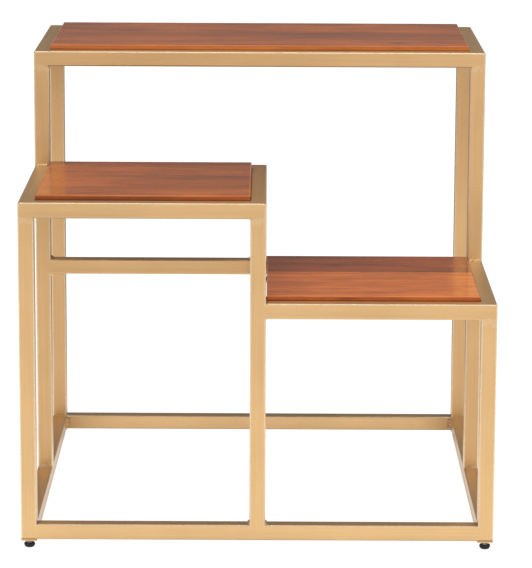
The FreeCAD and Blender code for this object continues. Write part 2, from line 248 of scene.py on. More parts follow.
def tube_of(node):
    """Lowest corner, highest corner and lengthwise axis of a tube node."""
    low, high = ([round(value, 5) for value in corner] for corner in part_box(node))
    lengths = [high[i] - low[i] for i in range(3)]
    return low, high, lengths.index(max(lengths))


def inside(tube, point):
    """True if the point lies in the tube's box."""
    return all(tube[0][i] < point[i] < tube[1][i] for i in range(3))


def joined_skin(tubes, extra_lines):
    """Outside faces of all the tubes joined, with the tube's place in the list kept on each face."""
    lines = []
    for i, extra in enumerate(extra_lines):
        lines.append(sorted({corner[i] for tube in tubes for corner in tube[:2]} | extra))
    steps = [range(len(line) - 1) for line in lines]
    tube_in = {}
    for cell in itertools.product(*steps):
        middle = [(lines[i][cell[i]] + lines[i][cell[i] + 1]) / 2 for i in range(3)]
        tube_in[cell] = next((at for at, tube in enumerate(tubes) if inside(tube, middle)), None)
    skin = bmesh.new()
    tube_layer = skin.faces.layers.int.new("tube")
    corners = {}
    for cell, tube_at in tube_in.items():
        for i, side in itertools.product(range(3), (0, 1)):
            beyond = tuple(cell[k] + (2 * side - 1) * (k == i) for k in range(3))
            if tube_at is None or tube_in.get(beyond) is not None:
                continue
            j, k = (i + 1) % 3, (i + 2) % 3
            turns = ((0, 0), (1, 0), (1, 1), (0, 1))
            ring = []
            for at_j, at_k in turns if side else turns[::-1]:
                spot = list(cell)
                spot[i] += side
                spot[j] += at_j
                spot[k] += at_k
                spot = tuple(spot)
                if spot not in corners:
                    corners[spot] = skin.verts.new([lines[m][spot[m]] for m in range(3)])
                ring.append(corners[spot])
            skin.faces.new(ring)[tube_layer] = tube_at
    skin.normal_update()
    return skin


def ground_lines(tubes, uprights):
    """Lines along each axis where the grinder's patches at the tops of the uprights start, fade and end."""
    lines = []
    for i in (0, 1):
        first = min(tube[0][i] for tube in tubes)
        last = max(tube[1][i] for tube in tubes)
        beside = {tube[0][i] - GROUND_FADE for tube in uprights}
        beside |= {tube[1][i] + GROUND_FADE for tube in uprights}
        lines.append({line for line in beside if first < line < last})
    reaches = (GROUND_FADE, -GROUND_FADE, -GROUND_LENGTH)
    lines.append({tube[1][2] + reach for tube in uprights for reach in reaches})
    return lines


def ground_share(upright, point):
    """How much of the grinder's patch at the top of an upright lies at a point, from 0 to 1."""
    low, high, _ = upright
    beside = max(max(low[i] - point[i], point[i] - high[i]) for i in (0, 1))
    above = max(beside, point[2] - high[2], 0.0)
    below = (GROUND_LENGTH - (high[2] - point[2])) / (GROUND_LENGTH - GROUND_FADE)
    return max(0.0, min(1.0 - above / GROUND_FADE, below, 1.0))


def note_tube_directions(skin, tubes):
    """Keeps on each corner of a face its place along the tube, and how far it is across the tube's side."""
    tube_layer = skin.faces.layers.int["tube"]
    along_layer = skin.loops.layers.float_vector.new("along_tube")
    across_layer = skin.loops.layers.float.new("across_tube")
    for face in skin.faces:
        face.smooth = True
        low, high, axis = tubes[face[tube_layer]]
        sides = [i for i in range(3) if i != axis and abs(face.normal[i]) < SQUARE_NORMAL]
        for loop in face.loops:
            point = loop.vert.co
            loop[along_layer] = Vector((point[axis], sum(point) - point[axis], axis * STREAK_SHIFT))
            loop[across_layer] = 1.0
            if len(sides) == 1:
                i = sides[0]
                width = high[i] - low[i] - 2 * TUBE_CORNER_RADIUS
                loop[across_layer] = (2 * point[i] - low[i] - high[i]) / width


def note_paint_wear_and_painted_light(skin, uprights):
    """Keeps on each point how far it is ground, on an edge with wear and painted highlight, or on a lower
    edge with painted shade.
    """
    ground_layer = skin.verts.layers.float.new("ground")
    edge_wear_and_highlight_layer = skin.verts.layers.float.new("edge")
    under_shade_layer = skin.verts.layers.float.new("shaded_under_edge")
    for vert in skin.verts:
        flat = any(max(abs(value) for value in face.normal) > FLAT_NORMAL for face in vert.link_faces)
        faces_down = vert.normal.z < DOWNWARD_NORMAL
        # Upper and side edges get wear and a painted highlight; flat faces and lower edges get none.
        vert[edge_wear_and_highlight_layer] = 0.0 if flat or faces_down else 1.0
        # Painted shade on lower edges grows from the bottom rails up towards the shelves.
        under_shade = (vert.co.z - UNDER_SHADE_FROM_HEIGHT) / (UNDER_SHADE_TO_HEIGHT - UNDER_SHADE_FROM_HEIGHT)
        vert[under_shade_layer] = min(max(under_shade, 0.0), 1.0) if faces_down and not flat else 0.0
        vert[ground_layer] = max(ground_share(upright, vert.co) for upright in uprights)


def rounded_skin(tubes):
    """Mesh of the joined skin with its outer edges rounded, and the attributes that the paint reads."""
    uprights = [tube for tube in tubes if tube[2] == 2]
    skin = joined_skin(tubes, ground_lines(tubes, uprights))
    sharp = [edge for edge in skin.edges if edge.calc_face_angle_signed() > SHARP_ANGLE]
    bmesh.ops.bevel(
        skin, geom=sharp, offset=TUBE_CORNER_RADIUS, offset_type="OFFSET", segments=TUBE_CORNER_STEPS,
        profile=0.5, affect="EDGES", clamp_overlap=True,
    )
    note_tube_directions(skin, tubes)
    note_paint_wear_and_painted_light(skin, uprights)
    mesh = bpy.data.meshes.new("welded_tubes")
    skin.to_mesh(mesh)
    skin.free()
    return mesh


streak_group = lengthwise_streaks()
tube_paint = gold_paint("gold_paint_on_tube", True)
tube_nodes = sorted(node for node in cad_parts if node.endswith(("_rail", "_leg", "_post")))
tubes = sorted((tube_of(node) for node in tube_nodes), key=lambda tube: tube[2])
welded_tubes = new_piece("welded_tubes", rounded_skin(tubes), tube_paint)
welded_tubes.modifiers.new("even_flats", "WEIGHTED_NORMAL").keep_sharp = False
fit(settle(welded_tubes), "frame", tube_nodes)


# Weld beads: steel wire melted into the inside corners that the grinder can't reach, then painted with
# the tubes. Each bead is a row of overlapping ripples, one for every pulse of the welder's hand.
RIPPLE_SPACING = 0.0013
RIPPLE_LENGTH = 0.0019
BEAD_SPREAD = 1.05
BEAD_RISE = 0.70
RIPPLE_SMALLEST = (0.85, 0.9, 0.8)
RIPPLE_LARGEST = (1.15, 1.08, 1.15)
RIPPLE_SEGMENTS = 10
RIPPLE_RINGS = 5
MERGE_DISTANCE = 1e-6
BEAD_PALE_SHARE = 0.3
# Painted highlight: the beads at the feet of the uprights are mixed much paler, as where they catch light.
HIGHLIT_BEAD_PALE_SHARE = 0.9
bead_paint = gold_paint("gold_paint_on_beads", False, BEAD_PALE_SHARE)
highlit_bead_paint = gold_paint("gold_paint_on_highlit_beads", False, HIGHLIT_BEAD_PALE_SHARE)


def merged_copy(node):
    """Copy of a CAD node's mesh with its doubles merged."""
    copy = bmesh.new()
    copy.from_mesh(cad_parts[node].data)
    bmesh.ops.remove_doubles(copy, verts=copy.verts, dist=MERGE_DISTANCE)
    return copy


def rounded_middle(points):
    """Middle of some points to a tenth of a millimetre, by which solids are put in order."""
    return tuple(round(value, 4) for value in sum(points, Vector()) / len(points))


def solids_of(node):
    """Corner points of each separate solid in a CAD node."""
    merged = merged_copy(node)
    left, solids = set(merged.verts), []
    while left:
        reached = [left.pop()]
        for vert in reached:
            touching = {edge.other_vert(vert) for edge in vert.link_edges} & left
            left -= touching
            reached.extend(touching)
        solids.append([vert.co.copy() for vert in reached])
    merged.free()
    return sorted(solids, key=rounded_middle)


def box_of(points):
    """Lowest and highest corner of some points."""
    return [Vector([pick(point[i] for point in points) for i in range(3)]) for pick in (min, max)]


def bead_line(points):
    """Start and end of a bead's root, the direction it faces, and the leg of its three-cornered section."""
    low, high = box_of(points)
    middle = sum(points, Vector()) / len(points)
    lengths = high - low
    axis = max(range(3), key=lambda i: lengths[i])
    start, faces = low.copy(), Vector()
    for i in range(3):
        if i == axis:
            continue
        root_is_low = middle[i] < (low[i] + high[i]) / 2
        start[i] = low[i] if root_is_low else high[i]
        faces[i] = 1.0 if root_is_low else -1.0
    end = start.copy()
    start[axis] = low[axis] + RIPPLE_LENGTH
    end[axis] = high[axis] - RIPPLE_LENGTH
    return start, end, faces.normalized(), min(lengths)


def bead_lines(name, lines):
    """Mesh with one edge for each bead, and the bead's direction and leg at both ends."""
    mesh = bpy.data.meshes.new(name)
    ends = [end for line in lines for end in line[:2]]
    mesh.from_pydata(ends, [(2 * i, 2 * i + 1) for i in range(len(lines))], [])
    mesh.attributes.new("faces", "FLOAT_VECTOR", "POINT")
    mesh.attributes.new("leg", "FLOAT", "POINT")
    for i, (_, _, direction, leg) in enumerate(lines):
        for end in (2 * i, 2 * i + 1):
            mesh.attributes["faces"].data[end].vector = direction
            mesh.attributes["leg"].data[end].value = leg
    return mesh


def weld_ripples():
    """Tree: a row of flattened ripples along each edge, turned as the bead faces, no two quite alike."""
    sizes = ("Ripple Spacing", "Ripple Length", "Bead Spread", "Bead Rise")
    inputs = {"Geometry": "NodeSocketGeometry", **{size: "NodeSocketFloat" for size in sizes}}
    inputs |= {"Seed": "NodeSocketInt", "Finish": "NodeSocketMaterial"}
    outputs = {"Geometry": "NodeSocketGeometry"}
    tree, given, result = group_of("GeometryNodeTree", "weld_ripples", inputs, outputs)
    faces = put(tree, "GeometryNodeInputNamedAttribute", {"Name": "faces"}, data_type="FLOAT_VECTOR")
    leg = put(tree, "GeometryNodeInputNamedAttribute", {"Name": "leg"}, data_type="FLOAT").outputs[0]
    path = put(tree, "GeometryNodeMeshToCurve", {"Mesh": given["Geometry"]}).outputs[0]
    path = {"Curve": path, "Length": given["Ripple Spacing"]}
    path = put(tree, "GeometryNodeResampleCurve", path, mode="LENGTH").outputs[0]
    turn = {"Vector": put(tree, "GeometryNodeInputTangent").outputs[0]}
    turn = put(tree, "FunctionNodeAlignRotationToVector", turn, axis="X").outputs[0]
    turn = {"Rotation": turn, "Vector": faces.outputs[0]}
    turn = put(tree, "FunctionNodeAlignRotationToVector", turn, axis="Z", pivot_axis="X").outputs[0]
    chance = {"Min": RIPPLE_SMALLEST, "Max": RIPPLE_LARGEST, "Seed": given["Seed"]}
    chance = put(tree, "FunctionNodeRandomValue", chance, data_type="FLOAT_VECTOR").outputs[0]
    across = number(tree, "MULTIPLY", leg, given["Bead Spread"])
    rise = number(tree, "MULTIPLY", leg, given["Bead Rise"])
    scale = {"X": given["Ripple Length"], "Y": across, "Z": rise}
    scale = vector(tree, "MULTIPLY", put(tree, "ShaderNodeCombineXYZ", scale).outputs[0], chance)
    ripple = {"Segments": RIPPLE_SEGMENTS, "Rings": RIPPLE_RINGS, "Radius": 1.0}
    ripple = put(tree, "GeometryNodeMeshUVSphere", ripple).outputs[0]
    row = {"Points": path, "Instance": ripple, "Rotation": turn, "Scale": scale}
    row = put(tree, "GeometryNodeInstanceOnPoints", row).outputs[0]
    row = put(tree, "GeometryNodeRealizeInstances", {"Geometry": row}).outputs[0]
    row = put(tree, "GeometryNodeSetShadeSmooth", {"Geometry": row}).outputs[0]
    row = put(tree, "GeometryNodeSetMaterial", {"Geometry": row, "Material": given["Finish"]}).outputs[0]
    tree.links.new(row, result["Geometry"])
    return tree


def grow(name, seed_mesh, tree, sizes):
    """Runs a Geometry Nodes tree on a mesh, with its named inputs set, and gives a plain piece."""
    piece = bpy.data.objects.new(name, seed_mesh)
    bpy.context.collection.objects.link(piece)
    modifier = piece.modifiers.new(tree.name, "NODES")
    modifier.node_group = tree
    for socket in tree.interface.items_tree:
        if socket.in_out == "INPUT" and socket.name in sizes:
            modifier[socket.identifier] = sizes[socket.name]
    return settle(piece)


ripple_tree = weld_ripples()
ripple_sizes = {
    "Ripple Spacing": RIPPLE_SPACING,
    "Ripple Length": RIPPLE_LENGTH,
    "Bead Spread": BEAD_SPREAD,
    "Bead Rise": BEAD_RISE,
}
weld_paints = {
    "bottom_corner_welds": bead_paint,
    # These beads carry the painted highlight.
    "upright_foot_welds": highlit_bead_paint,
    "upright_top_welds": bead_paint,
    "shelf_rail_welds": bead_paint,
}
for seed, (weld_node, paint) in enumerate(weld_paints.items()):
    lines = [bead_line(points) for points in solids_of(weld_node)]
    row_sizes = {**ripple_sizes, "Seed": seed, "Finish": paint}
    beads = grow(weld_node + "_beads", bead_lines(weld_node, lines), ripple_tree, row_sizes)
    fit(beads, "frame", [weld_node])


# Panel tabs: flat steel, cut with an open slot and welded inside the shelf frames, then painted with the
# tubes. The boards lie on them.
small_paint = gold_paint("gold_paint_on_fittings", False)


def coat(node, finish):
    """Gives a CAD node that keeps its shape this finish."""
    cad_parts[node].material_slots[0].material = finish


for shelf in ("high", "mid", "low"):
    coat(shelf + "_panel_tabs", small_paint)


# Leg ends: a steel plate closes each leg at the bottom, welded on and painted with the tubes.
# A zinc-plated weld nut sits on its inside and takes the thread of the foot.
ZINC = (0.62, 0.62, 0.60, 1)
ZINC_DULL = (0.42, 0.42, 0.41, 1)
ZINC_PATCH_RATE = 320.0
ZINC_ROUGHNESS = (0.42, 0.26)


def plated_steel(name):
    """Bright zinc plating over turned steel, with duller patches."""
    finish, tree, plating = new_finish(name)
    patch = spread(tree, noise(tree, object_place(tree), ZINC_PATCH_RATE, detail=4.0), *FIRM_CONTRAST)
    tree.links.new(mixed(tree, patch, ZINC_DULL, ZINC), plating.inputs["Base Color"])
    tree.links.new(spread(tree, patch, 0.0, 1.0, *ZINC_ROUGHNESS), plating.inputs["Roughness"])
    plating.inputs["Metallic"].default_value = 1.0
    return finish


plating = plated_steel("zinc_plating")
coat("leg_end_plates", small_paint)
coat("leg_weld_nuts", plating)


# Panel boards: solid reddish-brown hardwood, two boards glued edge to edge in each panel, sanded, sealed
# and lacquered on top. Each board keeps the figure of its own log. The panels are screwed to the tabs
# from below, and the middle one is cut to reach almost to the rail on its right.
# A highlight is painted along the upper outer arris of each panel, and shade at the foot of its sides.
MID_PANEL_REACH = 0.00065
FLAT_DEGREES = 1
RED_BROWN = (0.55, 0.148, 0.036, 1)
ORANGE_BROWN = (0.75, 0.20, 0.043, 1)
CHESTNUT = (0.42, 0.105, 0.030, 1)
DARK_BROWN = (0.26, 0.066, 0.022, 1)
UMBER = (0.18, 0.046, 0.020, 1)
MINERAL_BROWN = (0.15, 0.046, 0.022, 1)
PORE_BROWN = (0.07, 0.022, 0.009, 1)
# Pale wood of the painted highlight on the arris.
ARRIS_HIGHLIGHT_WOOD = (0.62, 0.21, 0.075, 1)
# Painted light: this pale brown flecks the high panel's sides, which are painted lighter than the lower
# ones.
PAINTED_LIGHT_SIDE_BROWN = (0.72, 0.25, 0.055, 1)
RING_WIDTH = 0.028
RING_WANDER = 0.02
RING_WANDER_RATES = (3.5, 16.0, 16.0)
RING_WANDER_CONTRAST = (0.2, 0.8)
LATE_WOOD_POWER = 4.0
LATE_WOOD_END = 0.86
MINERAL_STREAKS = {"Along": 4.5, "Across": 24.0}
MINERAL_CONTRAST = (0.3, 0.95)
FIBRE_STREAKS = {"Along": 12.0, "Across": 90.0}
FIBRE_SHARE = 0.55
FIGURE_PALER = 0.12
PORE_STREAKS = {"Along": 24.0, "Across": 520.0}
PORE_CONTRAST = (0.05, 0.4)
PORE_SHARE = 0.42
KNOT = (0.014, 0.009, 0.009)
DARK_BAND = (0.45, 0.040, 0.04)
DARK_PATCH = (0.12, 0.055, 0.05)
MARK_RAGGED = 0.5
MARK_FADE = (0.3, 1.3)
ARRIS_WIDTH = 0.0014
ARRIS_FADE = (0.6, 1.5)
ARRIS_HIGHLIGHT_SHARE = 0.4
SIDE_FADE = 1.6
FLECK_SHARES = (0.15, 0.65)
# Painted shade at the foot of the panel sides, in the gap over the rails.
SHADE_HEIGHT = 0.0062
SHADE_FADE = 0.8
SHADE_SHARE = 0.65
TOP_LACQUER = 0.28
LACQUER_ROUGHNESS = 0.135
SEALER_GLOSS = 0.12
SEALER_CONTRAST = (0.2, 0.9)
SEALER_DULLER = 0.08
SEALER_SHINIER = 0.07
GRAIN_DEPTH = 0.0003
GRAIN_STRENGTH = 0.1


def length_of(tree, place):
    """Output of how far a place lies from the origin."""
    return put(tree, "ShaderNodeVectorMath", {0: place}, operation="LENGTH").outputs["Value"]


def growth_rings():
    """Group: yearly rings round a heart line along X, which wanders and climbs. 0 is pale and 1 dark."""
    inputs = {"Place": "NodeSocketVector", "Climb": "NodeSocketFloat", "Ring Width": "NodeSocketFloat"}
    outputs = {"Ring": "NodeSocketFloat"}
    tree, given, result = group_of("ShaderNodeTree", "growth_rings", inputs, outputs)
    parts = put(tree, "ShaderNodeSeparateXYZ", {0: given["Place"]}).outputs
    drawn = vector(tree, "MULTIPLY", given["Place"], RING_WANDER_RATES)
    wander = spread(tree, noise(tree, drawn, 1.0), *RING_WANDER_CONTRAST, -RING_WANDER, RING_WANDER)
    depth = number(tree, "ADD", parts["Z"], number(tree, "MULTIPLY", parts["X"], given["Climb"]))
    radius = put(tree, "ShaderNodeCombineXYZ", {"X": parts["Y"], "Y": depth}).outputs[0]
    radius = number(tree, "ADD", length_of(tree, radius), wander)
    year = number(tree, "FRACT", number(tree, "DIVIDE", radius, given["Ring Width"]), 0.0)
    dark = number(tree, "POWER", year, LATE_WOOD_POWER)
    early = spread(tree, year, LATE_WOOD_END, 1.0, 1.0, 0.0)
    tree.links.new(number(tree, "MULTIPLY", dark, early), result["Ring"])
    return tree


def arris_highlight_and_foot_shade():
    """Group: masks of a panel's upper outer arris for a painted highlight, of its sides below, and of their
    foot for painted shade.
    """
    inputs = {"Place": "NodeSocketVector", "Low": "NodeSocketVector", "High": "NodeSocketVector"}
    inputs |= {"Arris Width": "NodeSocketFloat", "Shade Height": "NodeSocketFloat"}
    outputs = {"Arris": "NodeSocketFloat", "Side": "NodeSocketFloat", "Shade": "NodeSocketFloat"}
    tree, given, result = group_of("ShaderNodeTree", "arris_highlight_and_foot_shade", inputs, outputs)
    past_low = vector(tree, "SUBTRACT", given["Place"], given["Low"])
    past_low = put(tree, "ShaderNodeSeparateXYZ", {0: past_low}).outputs
    to_high = vector(tree, "SUBTRACT", given["High"], given["Place"])
    to_high = put(tree, "ShaderNodeSeparateXYZ", {0: to_high}).outputs
    beside = [number(tree, "MINIMUM", past_low[axis], to_high[axis]) for axis in "XY"]
    corner = number(tree, "ADD", number(tree, "MINIMUM", *beside), to_high["Z"])
    width = given["Arris Width"]
    fade = [number(tree, "MULTIPLY", width, share) for share in ARRIS_FADE]
    tree.links.new(spread(tree, corner, *fade, 1.0, 0.0), result["Arris"])
    side = spread(tree, to_high["Z"], width, number(tree, "MULTIPLY", width, SIDE_FADE))
    tree.links.new(side, result["Side"])
    height = given["Shade Height"]
    shade = spread(tree, to_high["Z"], number(tree, "MULTIPLY", height, SHADE_FADE), height)
    tree.links.new(shade, result["Shade"])
    return tree


def board_wood(name, low, high, pale, dark, fleck, heart, climb, ring_share, streak_share, marks):
    """Sealed and lacquered board of a panel that reaches from low to high.

    Its rings run from pale to dark round a line through heart, which climbs. Fleck is the colour that its
    sides show between the fibres; a pale fleck paints light on the sides. Marks are its knots and dark
    places, each a middle, a reach and a share.
    """
    finish, tree, lacquer = new_finish(name)
    place = object_place(tree)
    log = vector(tree, "SUBTRACT", place, heart)
    ring = placed(tree, ring_group, {"Place": log, "Climb": climb, "Ring Width": RING_WIDTH})["Ring"]
    mineral, fibre, pore = (
        placed(tree, streak_group, {"Place": log, **rates})["Streak"]
        for rates in (MINERAL_STREAKS, FIBRE_STREAKS, PORE_STREAKS)
    )
    figure = number(tree, "MULTIPLY", ring, ring_share)
    figure = number(tree, "ADD", figure, number(tree, "MULTIPLY", fibre, FIBRE_SHARE))
    colour = mixed(tree, number(tree, "SUBTRACT", figure, FIGURE_PALER), pale, dark)
    colour = mixed(tree, spread(tree, mineral, *MINERAL_CONTRAST, 0.0, streak_share), colour, MINERAL_BROWN)
    for middle, reach, share in marks:
        away = vector(tree, "DIVIDE", vector(tree, "SUBTRACT", place, middle), reach)
        ragged = spread(tree, fibre, 0.0, 1.0, -MARK_RAGGED, MARK_RAGGED)
        away = number(tree, "ADD", length_of(tree, away), ragged)
        colour = mixed(tree, spread(tree, away, *MARK_FADE, share, 0.0), colour, MINERAL_BROWN)
    colour = mixed(tree, spread(tree, pore, *PORE_CONTRAST, PORE_SHARE, 0.0), colour, PORE_BROWN)
    edges = {"Place": place, "Low": low, "High": high}
    edges |= {"Arris Width": ARRIS_WIDTH, "Shade Height": SHADE_HEIGHT}
    edges = placed(tree, arris_group, edges)
    flecked = spread(tree, fibre, 0.0, 1.0, *FLECK_SHARES)
    colour = mixed(tree, number(tree, "MULTIPLY", edges["Side"], flecked), colour, fleck)
    # Painted highlight: the upper outer arris is mixed towards a pale wood colour.
    colour = mixed(tree, number(tree, "MULTIPLY", edges["Arris"], ARRIS_HIGHLIGHT_SHARE), colour, ARRIS_HIGHLIGHT_WOOD)
    # Painted shade: the foot of each side is mixed towards dark brown.
    colour = mixed(tree, number(tree, "MULTIPLY", edges["Shade"], SHADE_SHARE), colour, PORE_BROWN)
    tree.links.new(colour, lacquer.inputs["Base Color"])
    roughness = (LACQUER_ROUGHNESS + SEALER_DULLER, LACQUER_ROUGHNESS - SEALER_SHINIER)
    tree.links.new(spread(tree, mineral, *SEALER_CONTRAST, *roughness), lacquer.inputs["Roughness"])
    lacquered = spread(tree, edges["Side"], 0.0, 1.0, TOP_LACQUER, 0.0)
    tree.links.new(lacquered, lacquer.inputs["Coat Weight"])
    lacquer.inputs["Coat Roughness"].default_value = LACQUER_ROUGHNESS
    lacquer.inputs["Specular IOR Level"].default_value = SEALER_GLOSS
    height = [number(tree, "MULTIPLY", streak, 0.5) for streak in (fibre, pore)]
    grain = {"Strength": GRAIN_STRENGTH, "Distance": GRAIN_DEPTH, "Height": number(tree, "ADD", *height)}
    grain = put(tree, "ShaderNodeBump", grain).outputs["Normal"]
    tree.links.new(grain, lacquer.inputs["Normal"])
    return finish


def panel_box(shelf):
    """Lowest and highest corner of a shelf's two boards together."""
    corners = [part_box(shelf + board) for board in ("_panel_front_board", "_panel_rear_board")]
    return box_of([Vector(corner) for pair in corners for corner in pair])


def fitted_board(node):
    """Mesh of a board that is cut to reach almost to the rail on its right."""
    board = merged_copy(node)
    flat = math.radians(FLAT_DEGREES)
    bmesh.ops.dissolve_limit(board, angle_limit=flat, verts=board.verts, edges=board.edges)
    low, high = box_of([vert.co for vert in board.verts])
    right_end = [vert for vert in board.verts if vert.co.x > (low.x + high.x) / 2]
    bmesh.ops.translate(board, verts=right_end, vec=(MID_PANEL_REACH, 0, 0))
    mesh = bpy.data.meshes.new(node)
    board.to_mesh(mesh)
    board.free()
    return mesh


ring_group = growth_rings()
arris_group = arris_highlight_and_foot_shade()
board_figures = {
    # The high boards' pale fleck is painted light on their sides.
    "high_panel_front_board": {
        "pale": RED_BROWN, "dark": DARK_BROWN, "fleck": PAINTED_LIGHT_SIDE_BROWN,
        "heart": (4.67, 0.059, 0.52), "climb": 0.10, "ring_share": 0.35, "streak_share": 0.45,
        "marks": [((0.187, 0.045, 0.606), KNOT, 0.75), ((0.05, 0.138, 0.606), DARK_BAND, 0.4)],
    },
    "high_panel_rear_board": {
        "pale": RED_BROWN, "dark": DARK_BROWN, "fleck": PAINTED_LIGHT_SIDE_BROWN,
        "heart": (3.91, 0.22, 0.50), "climb": -0.12, "ring_share": 0.3, "streak_share": 0.68,
        "marks": [],
    },
    "mid_panel_front_board": {
        "pale": RED_BROWN, "dark": DARK_BROWN, "fleck": UMBER,
        "heart": (2.35, -0.239, 0.40), "climb": 0.14, "ring_share": 0.35, "streak_share": 0.6,
        "marks": [((-0.08, -0.18, 0.452), DARK_PATCH, 0.3)],
    },
    "mid_panel_rear_board": {
        "pale": RED_BROWN, "dark": DARK_BROWN, "fleck": UMBER,
        "heart": (5.93, -0.049, 0.37), "climb": -0.10, "ring_share": 0.3, "streak_share": 0.75,
        "marks": [],
    },
    "low_panel_front_board": {
        "pale": ORANGE_BROWN, "dark": DARK_BROWN, "fleck": UMBER,
        "heart": (0.5, -0.24, 0.26), "climb": 0.16, "ring_share": 0.45, "streak_share": 0.3,
        "marks": [],
    },
    "low_panel_rear_board": {
        "pale": CHESTNUT, "dark": UMBER, "fleck": UMBER,
        "heart": (-0.1, -0.07, 0.27), "climb": -0.14, "ring_share": 0.4, "streak_share": 0.8,
        "marks": [((0.10, -0.075, 0.325), KNOT, 0.75), ((0.08, -0.075, 0.325), DARK_PATCH, 0.25)],
    },
}
for board_node, figure in board_figures.items():
    shelf, _, side, _ = board_node.split("_")
    wood = board_wood(board_node + "_wood", *panel_box(shelf), **figure)
    if shelf == "mid":
        board = new_piece(board_node + "_fitted", fitted_board(board_node), wood)
        fit(board, "frame", [board_node])
    else:
        coat(board_node, wood)


# Panel screws: zinc-plated steel wood screws with hexagon heads, driven up through the slots of the tabs
# into the boards. The slots leave the wood room to swell.
SCREW_ACROSS_FLATS = 0.007
SCREW_HEAD_HEIGHT = 0.0024
SCREW_DIAMETER = 0.004
HEAD_FACE_HEIGHT = 0.0004
HEAD_FACE_SHARE = 0.48
HEAD_WORN_SHARE = 0.42
HEAD_SIDES = 6
HEAD_FACE_STEPS = 24
SHANK_STEPS = 16


def panel_screws():
    """Tree: one screw on each point, which is the middle of the face of its head. The shank points up."""
    sizes = ("Across Flats", "Head Height", "Face Height", "Shank Diameter", "Shank Length")
    inputs = {"Geometry": "NodeSocketGeometry", **{size: "NodeSocketFloat" for size in sizes}}
    inputs |= {"Finish": "NodeSocketMaterial"}
    outputs = {"Geometry": "NodeSocketGeometry"}
    tree, given, result = group_of("GeometryNodeTree", "panel_screws", inputs, outputs)

    def raised(mesh, foot, height):
        """Mesh of this height about the origin, lifted to stand on the foot."""
        lift = number(tree, "ADD", foot, number(tree, "MULTIPLY", height, 0.5))
        lift = put(tree, "ShaderNodeCombineXYZ", {"Z": lift}).outputs[0]
        return put(tree, "GeometryNodeTransform", {"Geometry": mesh, "Translation": lift}).outputs[0]

    hexagon = number(tree, "DIVIDE", given["Across Flats"], 2 * math.cos(math.pi / HEAD_SIDES))
    plain_height = number(tree, "SUBTRACT", given["Head Height"], given["Face Height"])
    head = {"Vertices": HEAD_SIDES, "Radius": hexagon, "Depth": plain_height}
    head = put(tree, "GeometryNodeMeshCylinder", head).outputs["Mesh"]
    head = raised(head, given["Face Height"], plain_height)
    flat = number(tree, "MULTIPLY", given["Across Flats"], HEAD_FACE_SHARE)
    worn = number(tree, "MULTIPLY", given["Across Flats"], HEAD_WORN_SHARE)
    face = {"Vertices": HEAD_FACE_STEPS, "Radius Top": flat, "Radius Bottom": worn}
    face |= {"Depth": given["Face Height"]}
    face = put(tree, "GeometryNodeMeshCone", face).outputs["Mesh"]
    shank = number(tree, "MULTIPLY", given["Shank Diameter"], 0.5)
    stem = {"Vertices": SHANK_STEPS, "Radius": shank, "Depth": given["Shank Length"]}
    stem = put(tree, "GeometryNodeMeshCylinder", stem).outputs["Mesh"]
    stem = raised(stem, given["Head Height"], given["Shank Length"])
    whole = put(tree, "GeometryNodeJoinGeometry")
    for part in (head, face, stem):
        tree.links.new(part, whole.inputs[0])
    screws = {"Points": given["Geometry"], "Instance": whole.outputs[0]}
    screws = put(tree, "GeometryNodeInstanceOnPoints", screws).outputs[0]
    screws = put(tree, "GeometryNodeRealizeInstances", {"Geometry": screws}).outputs[0]
    screws = {"Geometry": screws, "Material": given["Finish"]}
    screws = put(tree, "GeometryNodeSetMaterial", screws).outputs[0]
    tree.links.new(screws, result["Geometry"])
    return tree


screw_tree = panel_screws()
for shelf in ("high", "mid", "low"):
    screw_node = shelf + "_panel_screws"
    boxes = [box_of(points) for points in solids_of(screw_node)]
    places = [((low.x + high.x) / 2, (low.y + high.y) / 2, low.z) for low, high in boxes]
    place_mesh = bpy.data.meshes.new(screw_node)
    place_mesh.from_pydata(places, [], [])
    screw_sizes = {
        "Across Flats": SCREW_ACROSS_FLATS,
        "Head Height": SCREW_HEAD_HEIGHT,
        "Face Height": HEAD_FACE_HEIGHT,
        "Shank Diameter": SCREW_DIAMETER,
        "Shank Length": boxes[0][1].z - boxes[0][0].z - SCREW_HEAD_HEIGHT,
        "Finish": plating,
    }
    screws = grow(screw_node + "_set", place_mesh, screw_tree, screw_sizes)
    fit(screws, "frame", [screw_node])


# Screw feet: a zinc-plated threaded stud with a collar, and a pad of moulded black plastic pressed over
# its lower end. The stud turns in the weld nut, which sets the height of the corner. The pad's belly is
# fluted for the fingers.
THREAD_PITCH = 0.001
THREAD_DEPTH = 0.0005
THREAD_STEPS = 6
THREAD_START = 0.0004
THREAD_END = 0.0006
STUD_RADIUS = 0.00298
STUD_CHAMFER = 0.0003
STUD_STEM_END = 0.006
STUD_PLAY = 0.00006
COLLAR_RADIUS = 0.004
COLLAR_TOP = 0.0072
COLLAR_FOOT_CHAMFER = 0.00015
COLLAR_TOP_CHAMFER = 0.0002
ROUND_STEPS = 56
CREASE_DEGREES = 35
FLUTES = 14
FLUTE_DEPTH = 0.0008
PAD_PROFILE = (
    (0.0046, 0.0), (0.0051, 0.0002), (0.0062, 0.0014), (0.0068, 0.0024),
    (0.0070, 0.0034), (0.0070, 0.0044), (0.0066, 0.0053), (0.0058, 0.0059),
    (0.0054, 0.0060), (0.0033, 0.0060), (0.00305, 0.0058), (0.00305, 0.0020),
)
FLUTED_FROM = 2
FLUTED_TO = 7
BLACK = (0.012, 0.012, 0.013, 1)
GREY_BLACK = (0.05, 0.05, 0.052, 1)
SCUFF_RATE = 420.0
SCUFF_CONTRAST = (0.5, 0.7)
PLASTIC_ROUGHNESS = (0.38, 0.6)


